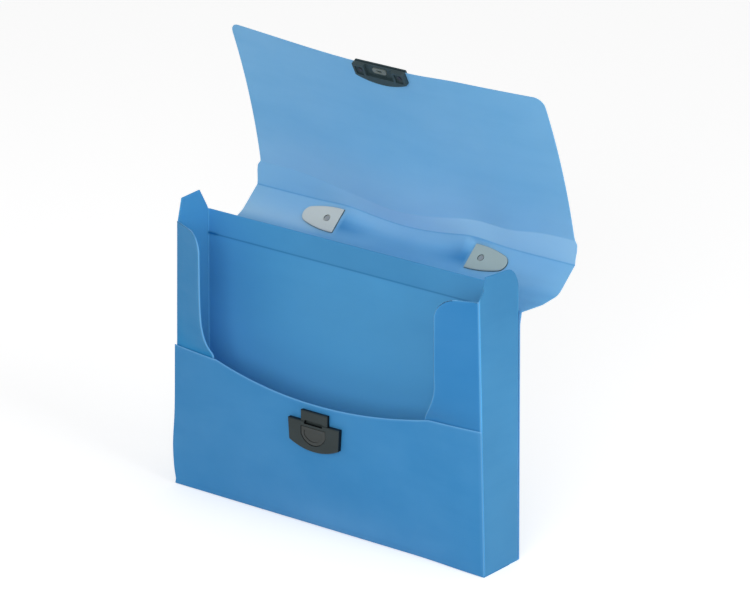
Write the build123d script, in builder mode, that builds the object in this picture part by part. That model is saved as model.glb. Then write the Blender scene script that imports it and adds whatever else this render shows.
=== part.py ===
from build123d import *
import math
import os

os.makedirs("parts", exist_ok=True)

# Document case of folded plastic sheet, shown open. Millimetres, +Z up, +Y towards the back.
# The origin is on the floor, in the middle of the box's bottom.

# Sheets
wrap_t = 0.7  # outer wrap: front, bottom, outer back and the whole cover
sleeve_t = 1.4  # inner sleeve: bottom, two gussets, back and two front flanges
bond_gap = 0.2  # weld line between the wrap and the sleeve
fold_gap = 0.15  # half of the thin web left open at each fold

# Box
box_w = 330.0  # outside of the gussets at the floor
sleeve_d = 45.0  # outside of the sleeve, front to back
wall_h = 238.0  # height of the gussets where their ears start
back_h = 237.0  # height of the inner back's free lip
front_lean = 7.5  # each gusset's front edge leans in by this at wall_h
back_lean = 1.65  # each gusset's back edge leans in by this at wall_h

# Ears on the gussets
ear_rise = 19.0
ear_front_run = 5.0  # slope at the front, measured along Y
ear_back_run = 12.0  # slope at the back, measured along Y
ear_back_r = 9.0
ear_front_r = 1.5

# Front panel: straight at the floor, bowed forward above, with a dipped upper edge
front_h = 127.5
front_over = 1.0  # the panel covers the gussets' front edges by this
bow = 14.0  # the panel's middle stands this far in front of its side edges
bow_start_z = 35.0
bow_start_share = 0.68  # share of the bow reached at bow_start_z
bow_full_z = 75.0
smile_half_w = 112.0
smile_depth = 12.3

# Front flanges, welded behind the front panel
flange_edge_x = 112.0
flange_foot_z = 4.0

# Dust flaps: the flanges' free upper stretches, splayed forward
flap_clear_z = 2.4  # between the front panel's straight upper edge and a flap's foot
flap_edge_x = 122.5
flap_corner_r = 17.0
flare_rise = 33.1  # the flare ends this far above the flap's foot
flare_mid_x = 118.5
flare_mid_rise = 14.6
flare_foot_x = 107.0
splay_foot = 8.0
splay_mid = 23.0
splay_top = 25.0
splay_mid_rise = 35.1
flap_seat = 0.1

# Cover: lengths along the sheet and directions from +Y towards +Z, lying open
hinge_z = 217.0
rear_len = 30.0
rear_dir = -4.0
corner_len = 18.0
corner_dir = 12.0
band_len = 29.0
band_dir = 41.0
strip_len = 20.5
strip_dir = 84.0
flap_len = 136.6
flap_dir = 107.8
flap_bulge = 3.8  # the cover's middle height stands back from its chord by this
flap_bow = 6.0  # the free edge's middle stands inward of its corners by this
flap_end_taper = 3.0  # the cover narrows by this at each side towards its free edge
flap_end_r = 9.0

# Handle fittings: a foot outside the band, a plate inside it and a rivet through both
handle_half_span = 81.0  # rivets and knuckles, from the middle
handle_on_band = 13.5  # centre line of the fittings, from the band's lower fold
plate_flat_in = 11.5  # the flat end is this far inside the rivet
plate_tip_out = 26.0
plate_half_h = 11.8
plate_side_out = 5.0
plate_side_h = 11.0
plate_shoulder_out = 20.0
plate_shoulder_h = 7.6
plate_t = 2.0
plate_bevel = 0.6
foot_t = 2.5
rivet_r = 1.8
rivet_head_r = 2.4
rivet_head_t = 0.7
rivet_sink_r = 3.2
rivet_sink = 1.0
hole_fit = 0.05

# Handle: a bail on two pins
pivot_h = 9.0  # pivot axis above the band's outer face
knuckle_r = 4.6
knuckle_w = 9.2
knuckle_gap = 0.4
lug_w = 4.0
pin_r = 2.0
pin_fit = 0.05
grip_reach = 31.0  # pivot axis to the grip's outer edge
grip_h = 9.0
grip_t = 8.0
grip_round = 2.4
leg_t = 5.5
grip_corner_r = 11.0
groove_w = 4.4
groove_depth = 6.2
groove_end = 12.0  # solid length left at each end of the grip

# Lock on the front panel
lock_seat = 0.3
lock_t = 4.2
lock_half_w = 27.0
lock_foot_half_w = 25.8
lock_drop = 24.2  # the lock's two pins below the lowest point of the front panel's edge
lock_top_rise = 9.3  # this and the other rises are counted from the pins
lock_side_rise = -9.7
lock_low_rise = -16.0
lock_bevel = 0.7
tab_half_w = 14.0
tab_top_rise = 18.6
tab_t = 3.3
slot_half_w = 9.5
slot_low_rise = 7.3
slot_top_rise = 10.5
slot_depth = 3.0
lock_lip_t = 1.4  # the base's thin front lip that holds the button's rim

# Button in the lock
button_half_w = 12.6
button_top_rise = 5.0
button_side_rise = -2.0
button_low_rise = -10.1
button_rim_t = 1.0
button_rim_w = 0.8
button_fit = 0.4
button_seat = 0.1
button_bevel = 0.4
dish_inset = 3.0
dish_depth = 0.5

# Plate and pins that hold the lock from inside
lock_pin_x = 20.0
lock_pin_r = 1.5
lock_pin_fit = 0.1
lock_pin_depth = 2.0
lock_head_r = 2.6
lock_head_t = 0.8
back_plate_half_w = 25.0
back_plate_h = 14.0
back_plate_t = 1.4
back_plate_r = 2.0
back_plate_seat = 0.05

# Catch at the middle of the cover's free edge
catch_half_w = 26.7
catch_over = 1.4  # stands past the free edge
catch_side_v = 11.5
catch_low_v = 17.5
catch_corner_r = 1.6
catch_t = 3.8
catch_bevel = 0.6
catch_seat = 0.05
outer_plate_t = 1.8
outer_plate_seat = 0.3
pocket_fit = 0.35
pocket_low_v = 9.6
pocket_depth = 2.8
wing_in_x = 16.6
wing_out_x = 24.2
wing_top_v = 1.2
wing_low_v = 10.2
wing_depth = 1.6
tongue_half_w = 7.0
tongue_top_v = 0.6
tongue_low_v = 6.2
tongue_round = 2.5
tongue_t = 1.0
tongue_hole_w = 5.2
tongue_hole_h = 2.2
tongue_hole_round = 1.0
catch_pin_r = 1.4
catch_head_r = 2.2
catch_head_t = 0.6

# Worked out from the sizes above
half_w = box_w / 2
sleeve_y = sleeve_d / 2
gusset_y = sleeve_y - sleeve_t
wrap_in_y = sleeve_y + bond_gap
wrap_out_y = wrap_in_y + wrap_t
ear_top_z = wall_h + ear_rise
flap_end_x = half_w - flap_end_taper
flap_foot_z = front_h + flap_clear_z
flare_z = flap_foot_z + flare_rise
flare_mid_z = flap_foot_z + flare_mid_rise
splay_mid_z = flap_foot_z + splay_mid_rise
plate_flat_x = handle_half_span - plate_flat_in
plate_side_x = handle_half_span + plate_side_out
plate_shoulder_x = handle_half_span + plate_shoulder_out
plate_tip_x = handle_half_span + plate_tip_out
lock_pin_z = front_h - smile_depth - lock_drop
lock_top_z = lock_pin_z + lock_top_rise
lock_side_z = lock_pin_z + lock_side_rise
lock_low_z = lock_pin_z + lock_low_rise
tab_top_z = lock_pin_z + tab_top_rise
slot_low_z = lock_pin_z + slot_low_rise
slot_top_z = lock_pin_z + slot_top_rise
button_top_z = lock_pin_z + button_top_rise
button_side_z = lock_pin_z + button_side_rise
button_low_z = lock_pin_z + button_low_rise
through = 2 * (wrap_out_y + bow + lock_t)  # long enough to cut right through the box


def front_half_w(z):
    return half_w - front_lean * z / wall_h


def back_half_w(z):
    return half_w - back_lean * z / wall_h


def along(point, length, direction):
    angle = math.radians(direction)
    return point + Vector(length * math.cos(angle), length * math.sin(angle))


def inward(direction):
    angle = math.radians(direction)
    return Vector(-math.sin(angle), math.cos(angle))


def finish(piece, label):
    piece.part.label = label
    export_step(piece.part, f"parts/{label}.step")


# The cover's inner face in the YZ plane, fold by fold. The first fold turns on the wrap's outer face.
hinge_axis = Vector(wrap_out_y, hinge_z)
rear_start = hinge_axis + inward(rear_dir) * wrap_t
fold_1 = along(rear_start, rear_len, rear_dir)
fold_2 = along(fold_1, corner_len, corner_dir)
fold_3 = along(fold_2, band_len, band_dir)
fold_4 = along(fold_3, strip_len, strip_dir)
free_edge = along(fold_4, flap_len, flap_dir)

# Bottoms of the wrap and of the sleeve inside it
with BuildPart() as bottom_panel:
    with BuildSketch():
        Rectangle(2 * half_w, 2 * wrap_in_y)
    extrude(amount=wrap_t)
finish(bottom_panel, "bottom_panel")

with BuildPart() as inner_bottom_panel:
    with BuildSketch(Plane.XY.offset(wrap_t)):
        Rectangle(2 * (front_half_w(wrap_t + sleeve_t) - sleeve_t - bond_gap), 2 * (gusset_y - bond_gap))
    extrude(amount=sleeve_t)
finish(inner_bottom_panel, "inner_bottom_panel")


# Cross-sections of a sheet that is bowed forward above the floor
def bowed_sections(face_y, thickness):
    sections = []
    for z, depth in (
        (0.0, 0.0),
        (bow_start_z, bow * bow_start_share),
        (bow_full_z, bow),
        ((bow_full_z + front_h) / 2, bow),
        (front_h, bow),
    ):
        edge_x = front_half_w(z) + front_over
        with BuildSketch(Plane.XY.offset(z)) as section:
            with BuildLine():
                for y in (-face_y, -face_y - thickness):
                    if depth == 0.0:
                        Line((-edge_x, y), (edge_x, y))
                    else:
                        ThreePointArc((-edge_x, y), (0, y - depth), (edge_x, y))
                for x in (-edge_x, edge_x):
                    Line((x, -face_y), (x, -face_y - thickness))
            make_face()
        sections.append(section.sketch.face())
    return sections


# Everything above the front panel's dipped upper edge
def above_smile():
    far_x = half_w + front_over + front_lean
    with BuildSketch(Plane.XZ) as area:
        with BuildLine():
            Line((-far_x, front_h), (-smile_half_w, front_h))
            ThreePointArc(
                (-smile_half_w, front_h), (0, front_h - smile_depth), (smile_half_w, front_h)
            )
            Line((smile_half_w, front_h), (far_x, front_h))
            Polyline((far_x, front_h), (far_x, wall_h), (-far_x, wall_h), (-far_x, front_h))
        make_face()
    return area.sketch


# The two pin holes of the lock, on an XZ plane
def lock_pin_circles(plane, radius):
    with BuildSketch(plane) as circles:
        with Locations((-lock_pin_x, lock_pin_z), (lock_pin_x, lock_pin_z)):
            Circle(radius)
    return circles.sketch


with BuildPart() as front_panel:
    loft(bowed_sections(wrap_in_y, wrap_t))
    extrude(above_smile(), amount=through, mode=Mode.SUBTRACT)
    extrude(lock_pin_circles(Plane.XZ, lock_pin_r + lock_pin_fit), amount=through, mode=Mode.SUBTRACT)
finish(front_panel, "front_panel")

# Flanges of the sleeve behind the front panel
for side, label in ((-1, "left_front_flange"), (1, "right_front_flange")):
    with BuildPart() as flange:
        loft(bowed_sections(gusset_y, sleeve_t))
        with BuildSketch(Plane.XZ):
            with BuildLine():
                Polyline(
                    (side * flange_edge_x, flange_foot_z),
                    (side * front_half_w(flange_foot_z), flange_foot_z),
                    (side * front_half_w(front_h), front_h - fold_gap),
                    (side * flange_edge_x, front_h - fold_gap),
                    close=True,
                )
            make_face()
        extrude(amount=through, mode=Mode.INTERSECT)
    finish(flange, label)


# Upright sheet across the back, as wide as the gussets' back edges
def back_outline(face_y, low_z, high_z):
    with BuildSketch(Plane.XZ.offset(-face_y)) as outline:
        with BuildLine():
            Polyline(
                (-back_half_w(low_z), low_z),
                (back_half_w(low_z), low_z),
                (back_half_w(high_z), high_z),
                (-back_half_w(high_z), high_z),
                close=True,
            )
        make_face()
    return outline.sketch


with BuildPart() as inner_back_panel:
    extrude(back_outline(sleeve_y, wrap_t, back_h), amount=sleeve_t)
finish(inner_back_panel, "inner_back_panel")

with BuildPart() as outer_back_panel:
    extrude(back_outline(wrap_out_y, 0, hinge_z - fold_gap), amount=wrap_t)
finish(outer_back_panel, "outer_back_panel")

# Gussets: ruled sheets, trimmed to the outline with the ear
for side, label in ((-1, "left_gusset"), (1, "right_gusset")):
    with BuildPart() as gusset:
        for z in (wrap_t, ear_top_z):
            with BuildSketch(Plane.XY.offset(z)):
                with BuildLine():
                    Polyline(
                        (side * front_half_w(z), -gusset_y),
                        (side * back_half_w(z), gusset_y),
                        (side * (back_half_w(z) - sleeve_t), gusset_y),
                        (side * (front_half_w(z) - sleeve_t), -gusset_y),
                        close=True,
                    )
                make_face()
        loft(ruled=True)
        with BuildSketch(Plane.YZ):
            with BuildLine():
                Polyline(
                    (-gusset_y, 0),
                    (gusset_y, 0),
                    (gusset_y, wall_h),
                    (gusset_y - ear_back_run, ear_top_z),
                    (-gusset_y + ear_front_run, ear_top_z),
                    (-gusset_y, wall_h),
                    close=True,
                )
            make_face()
            fillet(vertices().group_by(Axis.Y)[-1].sort_by(Axis.X)[-1], ear_back_r)
            fillet(vertices().group_by(Axis.Y)[-1].sort_by(Axis.X)[0], ear_front_r)
        extrude(amount=box_w, both=True, mode=Mode.INTERSECT)
    finish(gusset, label)

# Dust flaps: each turns on the inner edge of its gusset's front, and is twisted along its height
for side, label in ((-1, "left_dust_flap"), (1, "right_dust_flap")):
    with BuildPart() as dust_flap:
        for z, splay in (
            (flap_foot_z, splay_foot),
            (splay_mid_z, splay_mid),
            (wall_h, splay_top),
        ):
            angle = math.radians(splay)
            run = Vector(-side * math.cos(angle), -math.sin(angle))
            out = Vector(side * math.sin(angle), -math.cos(angle))
            turn = Vector(side * (front_half_w(z) - sleeve_t), -gusset_y)
            root = turn + run * 2 * fold_gap + out * flap_seat
            tip = root + run * (front_half_w(z) - flare_foot_x + flap_corner_r)
            with BuildSketch(Plane.XY.offset(z)):
                with BuildLine():
                    Polyline(root, tip, tip + out * sleeve_t, root + out * sleeve_t, close=True)
                make_face()
        loft()
        with BuildSketch(Plane.XZ):
            with BuildLine():
                ThreePointArc(
                    (side * flare_foot_x, flap_foot_z),
                    (side * flare_mid_x, flare_mid_z),
                    (side * flap_edge_x, flare_z),
                )
                Polyline(
                    (side * flap_edge_x, flare_z),
                    (side * flap_edge_x, wall_h),
                    (side * half_w, wall_h),
                    (side * half_w, flap_foot_z),
                    (side * flare_foot_x, flap_foot_z),
                )
            make_face()
            fillet(vertices().group_by(Axis.Y)[-1].sort_by(Axis.X, reverse=side < 0)[0], flap_corner_r)
        extrude(amount=through, mode=Mode.INTERSECT)
    finish(dust_flap, label)


# Section of one flat length of the cover between two folds
def cover_section(start, end, direction):
    step = along(Vector(0, 0), fold_gap, direction)
    skin = inward(direction) * wrap_t
    with BuildSketch(Plane.YZ) as section:
        with BuildLine():
            Polyline(start + step, end - step, end - step - skin, start + step - skin, close=True)
        make_face()
    return section.sketch


with BuildPart() as rear_strip:
    extrude(cover_section(rear_start, fold_1, rear_dir), amount=half_w, both=True)
finish(rear_strip, "rear_strip")

with BuildPart() as corner_strip:
    extrude(cover_section(fold_1, fold_2, corner_dir), amount=half_w, both=True)
finish(corner_strip, "corner_strip")

with BuildPart() as front_strip:
    extrude(cover_section(fold_3, fold_4, strip_dir), amount=half_w, both=True)
finish(front_strip, "front_strip")

# The band carries the handle: its plane has X across, Y towards the free edge and Z inwards
band_mid = along(fold_2, handle_on_band, band_dir)
band_in = inward(band_dir)
band_plane = Plane(
    origin=(0, band_mid.X, band_mid.Y), x_dir=(1, 0, 0), z_dir=(0, band_in.X, band_in.Y)
)
band_out_plane = band_plane.offset(-wrap_t)
foot_face_plane = band_out_plane.offset(-foot_t)
rivet_spots = [(-handle_half_span, 0), (handle_half_span, 0)]

with BuildPart() as handle_band:
    extrude(cover_section(fold_2, fold_3, band_dir), amount=half_w, both=True)
    with BuildSketch(band_plane):
        with Locations(*rivet_spots):
            Circle(rivet_r + hole_fit)
    extrude(amount=-wrap_t, mode=Mode.SUBTRACT)
finish(handle_band, "handle_band")


# Bullet-shaped outline shared by a handle foot and its inner plate
def fitting_outline(plane, side):
    with BuildSketch(plane) as outline:
        with BuildLine():
            Line((side * plate_flat_x, -plate_half_h), (side * plate_flat_x, plate_half_h))
            for way in (-1, 1):
                ThreePointArc(
                    (side * plate_flat_x, way * plate_half_h),
                    (side * plate_side_x, way * plate_side_h),
                    (side * plate_shoulder_x, way * plate_shoulder_h),
                )
            ThreePointArc(
                (side * plate_shoulder_x, -plate_shoulder_h),
                (side * plate_tip_x, 0),
                (side * plate_shoulder_x, plate_shoulder_h),
            )
        make_face()
    return outline.sketch


for side, label in ((-1, "left_inner_plate"), (1, "right_inner_plate")):
    with BuildPart() as inner_plate:
        extrude(fitting_outline(band_plane, side), amount=plate_t)
        chamfer(faces().sort_by(Axis(band_plane.origin, band_plane.z_dir))[-1].edges(), plate_bevel)
        with BuildSketch(band_plane):
            with Locations((side * handle_half_span, 0)):
                Circle(rivet_r + hole_fit)
        extrude(amount=plate_t, mode=Mode.SUBTRACT)
        with BuildSketch(band_plane.offset(plate_t - rivet_sink)):
            with Locations((side * handle_half_span, 0)):
                Circle(rivet_sink_r)
        extrude(amount=rivet_sink, mode=Mode.SUBTRACT)
    finish(inner_plate, label)

# Pivot axis of the handle, along X
pivot = band_mid - band_in * (wrap_t + pivot_h)
pivot_plane = Plane(origin=(0, pivot.X, pivot.Y), x_dir=(0, 1, 0), z_dir=(1, 0, 0))

for side, label in ((-1, "left_handle_foot"), (1, "right_handle_foot")):
    with BuildPart() as foot:
        extrude(fitting_outline(band_out_plane, side), amount=-foot_t)
        for way in (-1, 1):
            lug_x = side * handle_half_span + way * (knuckle_w / 2 + knuckle_gap + lug_w / 2)
            lug_plane = Plane(
                origin=(lug_x, pivot.X, pivot.Y),
                x_dir=(0, band_in.X, band_in.Y),
                z_dir=(1, 0, 0),
            )
            with BuildSketch(lug_plane):
                Circle(knuckle_r)
                with Locations((pivot_h / 2, 0)):
                    Rectangle(pivot_h, 2 * knuckle_r)
            extrude(amount=lug_w / 2, both=True)
        with BuildSketch(pivot_plane):
            Circle(pin_r)
        extrude(amount=side * half_w, mode=Mode.SUBTRACT)
        with BuildSketch(foot_face_plane):
            with Locations((side * handle_half_span, 0)):
                Circle(rivet_r + hole_fit)
        extrude(amount=foot_t, mode=Mode.SUBTRACT)
    finish(foot, label)

with BuildPart() as handle_pins:
    for side in (-1, 1):
        with BuildSketch(pivot_plane.offset(side * handle_half_span)):
            Circle(pin_r)
        extrude(amount=knuckle_w / 2 + knuckle_gap + lug_w, both=True)
finish(handle_pins, "handle_pins")

with BuildPart() as handle_rivets:
    with BuildSketch(foot_face_plane):
        with Locations(*rivet_spots):
            Circle(rivet_r)
    extrude(amount=foot_t + wrap_t + plate_t - rivet_sink)
    with BuildSketch(band_plane.offset(plate_t - rivet_sink)):
        with Locations(*rivet_spots):
            Circle(rivet_head_r)
    extrude(amount=rivet_head_t)
finish(handle_rivets, "handle_rivets")

# Handle: the bail hangs straight down from its two knuckles
handle_plane = Plane(origin=(0, pivot.X, pivot.Y), x_dir=(1, 0, 0), z_dir=(0, -1, 0))
leg_out_x = handle_half_span + knuckle_w / 2
leg_in_x = handle_half_span - knuckle_w / 2
grip_top = grip_h - grip_reach

with BuildPart() as handle_grip:
    with BuildSketch(handle_plane):
        with BuildLine():
            Polyline(
                (-leg_out_x, 0),
                (-leg_out_x, -grip_reach),
                (leg_out_x, -grip_reach),
                (leg_out_x, 0),
                (leg_in_x, 0),
                (leg_in_x, grip_top),
                (-leg_in_x, grip_top),
                (-leg_in_x, 0),
                close=True,
            )
        make_face()
        fillet(vertices().group_by(Axis.Y)[0], grip_corner_r)
        fillet(vertices().group_by(Axis.Y)[1], leg_t)
    extrude(amount=leg_t / 2, both=True)
    with BuildSketch(Plane.YZ):
        with Locations((pivot.X, pivot.Y + grip_top - grip_h / 2)):
            RectangleRounded(grip_t, grip_h, grip_round)
    extrude(amount=leg_in_x - leg_t, both=True)
    for side in (-1, 1):
        with BuildSketch(pivot_plane.offset(side * handle_half_span)):
            Circle(knuckle_r)
        extrude(amount=knuckle_w / 2, both=True)
    with BuildSketch(pivot_plane):
        Circle(pin_r + pin_fit)
    extrude(amount=leg_out_x, both=True, mode=Mode.SUBTRACT)
    with BuildSketch(Plane.YZ):
        with Locations((pivot.X, pivot.Y - grip_reach + groove_depth / 2)):
            Rectangle(groove_w, groove_depth)
    extrude(amount=leg_in_x - groove_end, both=True, mode=Mode.SUBTRACT)
finish(handle_grip, "handle_grip")

# Cover panel: bulged along its height, and bowed inward across its free edge
flap_in = inward(flap_dir)


# How far the cover's middle stands inward of its side edges
def flap_dip(share):
    return flap_bow * share**2


# Point of the cover's inner face in the YZ plane, at its side edges or, with a dip, inward of them
def flap_point(share, dip):
    bulge = 4 * flap_bulge * share * (1 - share)
    start = along(fold_4, fold_gap, flap_dir)
    return along(start, (flap_len - fold_gap) * share, flap_dir) + flap_in * (dip - bulge)


catch_share = 1 - catch_low_v / flap_len
catch_top = flap_point(1, flap_dip(1))
catch_foot = flap_point(catch_share, flap_dip(catch_share))
catch_dir = math.degrees(math.atan2(catch_top.Y - catch_foot.Y, catch_top.X - catch_foot.X))
catch_in = inward(catch_dir)
catch_plane = Plane(
    origin=(0, catch_top.X, catch_top.Y), x_dir=(1, 0, 0), z_dir=(0, catch_in.X, catch_in.Y)
)
catch_pin_x = (wing_in_x + wing_out_x) / 2
catch_pin_v = (wing_top_v + wing_low_v) / 2
catch_pin_spots = [(-catch_pin_x, -catch_pin_v), (catch_pin_x, -catch_pin_v)]

with BuildPart() as cover_panel:
    for share in (0.0, 0.25, 0.5, 0.75, 1.0):
        edge = flap_point(share, 0)
        dip = flap_dip(share)
        section_plane = Plane(
            origin=(0, edge.X, edge.Y), x_dir=(1, 0, 0), z_dir=(0, flap_in.Y, -flap_in.X)
        )
        with BuildSketch(section_plane):
            with BuildLine():
                for y in (0.0, wrap_t):
                    if dip == 0.0:
                        Line((-half_w, y), (half_w, y))
                    else:
                        ThreePointArc((-half_w, y), (0, y - dip), (half_w, y))
                for x in (-half_w, half_w):
                    Line((x, 0), (x, wrap_t))
            make_face()
    loft()
    with BuildSketch(
        Plane(origin=(0, fold_4.X, fold_4.Y), x_dir=(1, 0, 0), z_dir=(0, flap_in.X, flap_in.Y))
    ):
        with BuildLine():
            Polyline(
                (-half_w, 0),
                (half_w, 0),
                (flap_end_x, flap_len),
                (-flap_end_x, flap_len),
                close=True,
            )
        make_face()
        fillet(vertices().group_by(Axis.Y)[-1], flap_end_r)
    extrude(amount=flap_len, both=True, mode=Mode.INTERSECT)
    with BuildSketch(catch_plane):
        with Locations(*catch_pin_spots):
            Circle(catch_pin_r + hole_fit)
    extrude(amount=outer_plate_t, both=True, mode=Mode.SUBTRACT)
finish(cover_panel, "cover_panel")


# Outline shared by the catch's housing and its outer plate
def catch_outline(plane):
    with BuildSketch(plane) as outline:
        with BuildLine():
            Polyline(
                (-catch_half_w, -catch_side_v),
                (-catch_half_w, catch_over),
                (catch_half_w, catch_over),
                (catch_half_w, -catch_side_v),
            )
            ThreePointArc(
                (-catch_half_w, -catch_side_v), (0, -catch_low_v), (catch_half_w, -catch_side_v)
            )
        make_face()
        fillet(vertices(), catch_corner_r)
    return outline.sketch


housing_plane = catch_plane.offset(catch_seat)
housing_face_plane = housing_plane.offset(catch_t)
wing_floor = catch_t - wing_depth
with BuildPart() as catch_housing:
    extrude(catch_outline(housing_plane), amount=catch_t)
    chamfer(faces().sort_by(Axis(catch_plane.origin, catch_plane.z_dir))[-1].edges(), catch_bevel)
    with BuildSketch(housing_face_plane):
        with Locations((0, (catch_over - pocket_low_v) / 2)):
            Rectangle(2 * (tab_half_w + pocket_fit), catch_over + pocket_low_v)
    extrude(amount=-pocket_depth, mode=Mode.SUBTRACT)
    with BuildSketch(housing_face_plane):
        with Locations(*catch_pin_spots):
            Rectangle(wing_out_x - wing_in_x, wing_low_v - wing_top_v)
    extrude(amount=-wing_depth, mode=Mode.SUBTRACT)
    with BuildSketch(housing_plane):
        with Locations(*catch_pin_spots):
            Circle(catch_pin_r + hole_fit)
    extrude(amount=wing_floor, mode=Mode.SUBTRACT)
finish(catch_housing, "catch_housing")

with BuildPart() as catch_tongue:
    with BuildSketch(housing_face_plane.offset(-pocket_depth)):
        with Locations((0, -(tongue_top_v + tongue_low_v) / 2)):
            RectangleRounded(2 * tongue_half_w, tongue_low_v - tongue_top_v, tongue_round)
            RectangleRounded(tongue_hole_w, tongue_hole_h, tongue_hole_round, mode=Mode.SUBTRACT)
    extrude(amount=tongue_t)
finish(catch_tongue, "catch_tongue")

outer_plate_plane = catch_plane.offset(-wrap_t - outer_plate_seat)
with BuildPart() as catch_outer_plate:
    extrude(catch_outline(outer_plate_plane), amount=-outer_plate_t)
    chamfer(faces().sort_by(Axis(catch_plane.origin, catch_plane.z_dir))[0].edges(), catch_bevel)
    with BuildSketch(outer_plate_plane):
        with Locations(*catch_pin_spots):
            Circle(catch_pin_r + hole_fit)
    extrude(amount=-outer_plate_t, mode=Mode.SUBTRACT)
finish(catch_outer_plate, "catch_outer_plate")

with BuildPart() as catch_rivets:
    with BuildSketch(outer_plate_plane.offset(-outer_plate_t)):
        with Locations(*catch_pin_spots):
            Circle(catch_pin_r)
    extrude(amount=outer_plate_t + outer_plate_seat + wrap_t + catch_seat + wing_floor)
    with BuildSketch(housing_plane.offset(wing_floor)):
        with Locations(*catch_pin_spots):
            Circle(catch_head_r)
    extrude(amount=catch_head_t)
finish(catch_rivets, "catch_rivets")

# Lock: depths are counted forward from the front panel's middle
lock_back_y = wrap_out_y + bow + lock_seat
lock_front_y = lock_back_y + lock_t
lip_back_y = lock_front_y - lock_lip_t


# U-shaped outline of the button, grown all round by the given amount
def button_outline(plane, grow):
    reach = button_half_w + grow
    with BuildSketch(plane) as outline:
        with BuildLine():
            Polyline(
                (-reach, button_side_z),
                (-reach, button_top_z + grow),
                (reach, button_top_z + grow),
                (reach, button_side_z),
            )
            ThreePointArc((-reach, button_side_z), (0, button_low_z - grow), (reach, button_side_z))
        make_face()
    return outline.sketch


with BuildPart() as lock_base:
    with BuildSketch(Plane.XZ.offset(lock_back_y)):
        with BuildLine():
            Polyline(
                (-tab_half_w, lock_side_z),
                (tab_half_w, lock_side_z),
                (tab_half_w, tab_top_z),
                (-tab_half_w, tab_top_z),
                close=True,
            )
        make_face()
    extrude(amount=tab_t)
    chamfer(faces().sort_by(Axis.Y)[0].edges(), lock_bevel)
    with BuildSketch(Plane.XZ.offset(lock_back_y)):
        with BuildLine():
            Polyline(
                (-lock_foot_half_w, lock_side_z),
                (-lock_half_w, lock_top_z),
                (lock_half_w, lock_top_z),
                (lock_foot_half_w, lock_side_z),
            )
            ThreePointArc(
                (-lock_foot_half_w, lock_side_z), (0, lock_low_z), (lock_foot_half_w, lock_side_z)
            )
        make_face()
    extrude(amount=lock_t)
    chamfer(faces().sort_by(Axis.Y)[0].edges(), lock_bevel)
    with BuildSketch(Plane.XZ.offset(lock_front_y)):
        with Locations((0, (slot_low_z + slot_top_z) / 2)):
            Rectangle(2 * slot_half_w, slot_top_z - slot_low_z)
    extrude(amount=-slot_depth, mode=Mode.SUBTRACT)
    extrude(
        button_outline(Plane.XZ.offset(lock_back_y), button_rim_w + button_fit),
        amount=lip_back_y - lock_back_y,
        mode=Mode.SUBTRACT,
    )
    extrude(
        button_outline(Plane.XZ.offset(lip_back_y), button_fit), amount=lock_lip_t, mode=Mode.SUBTRACT
    )
    extrude(
        lock_pin_circles(Plane.XZ.offset(lock_back_y), lock_pin_r + lock_pin_fit),
        amount=lock_pin_depth,
        mode=Mode.SUBTRACT,
    )
finish(lock_base, "lock_base")

rim_front_y = lip_back_y - button_seat
with BuildPart() as lock_button:
    extrude(button_outline(Plane.XZ.offset(rim_front_y), 0), amount=lock_front_y - rim_front_y)
    chamfer(faces().sort_by(Axis.Y)[0].edges(), button_bevel)
    extrude(button_outline(Plane.XZ.offset(rim_front_y), button_rim_w), amount=-button_rim_t)
    extrude(
        button_outline(Plane.XZ.offset(lock_front_y), -dish_inset),
        amount=-dish_depth,
        mode=Mode.SUBTRACT,
    )
finish(lock_button, "lock_button")

# The plate inside the front panel lies against the bowed sheet at its two ends
edge_share = back_plate_half_w / (front_half_w(lock_pin_z) + front_over)
plate_face_y = wrap_in_y + bow * (1 - edge_share**2) - back_plate_seat
with BuildPart() as lock_back_plate:
    with BuildSketch(Plane.XZ.offset(plate_face_y)):
        with Locations((0, lock_pin_z)):
            RectangleRounded(2 * back_plate_half_w, back_plate_h, back_plate_r)
    extrude(amount=-back_plate_t)
    extrude(
        lock_pin_circles(Plane.XZ.offset(plate_face_y), lock_pin_r + lock_pin_fit),
        amount=-back_plate_t,
        mode=Mode.SUBTRACT,
    )
finish(lock_back_plate, "lock_back_plate")

pin_foot_y = plate_face_y - back_plate_t
with BuildPart() as lock_rivets:
    extrude(
        lock_pin_circles(Plane.XZ.offset(pin_foot_y), lock_pin_r),
        amount=lock_back_y + lock_pin_depth - lock_pin_fit - pin_foot_y,
    )
    extrude(lock_pin_circles(Plane.XZ.offset(pin_foot_y), lock_head_r), amount=-lock_head_t)
finish(lock_rivets, "lock_rivets")

print("Fold lines, handle pivot and catch in the YZ plane:")
for name, point in (
    ("hinge", hinge_axis),
    ("fold_1", fold_1),
    ("fold_2", fold_2),
    ("fold_3", fold_3),
    ("fold_4", fold_4),
    ("free edge", free_edge),
    ("handle pivot", pivot),
    ("catch", catch_top),
):
    print(f"  {name}: {point.X:.3f}, {point.Y:.3f}")
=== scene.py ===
import math

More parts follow.
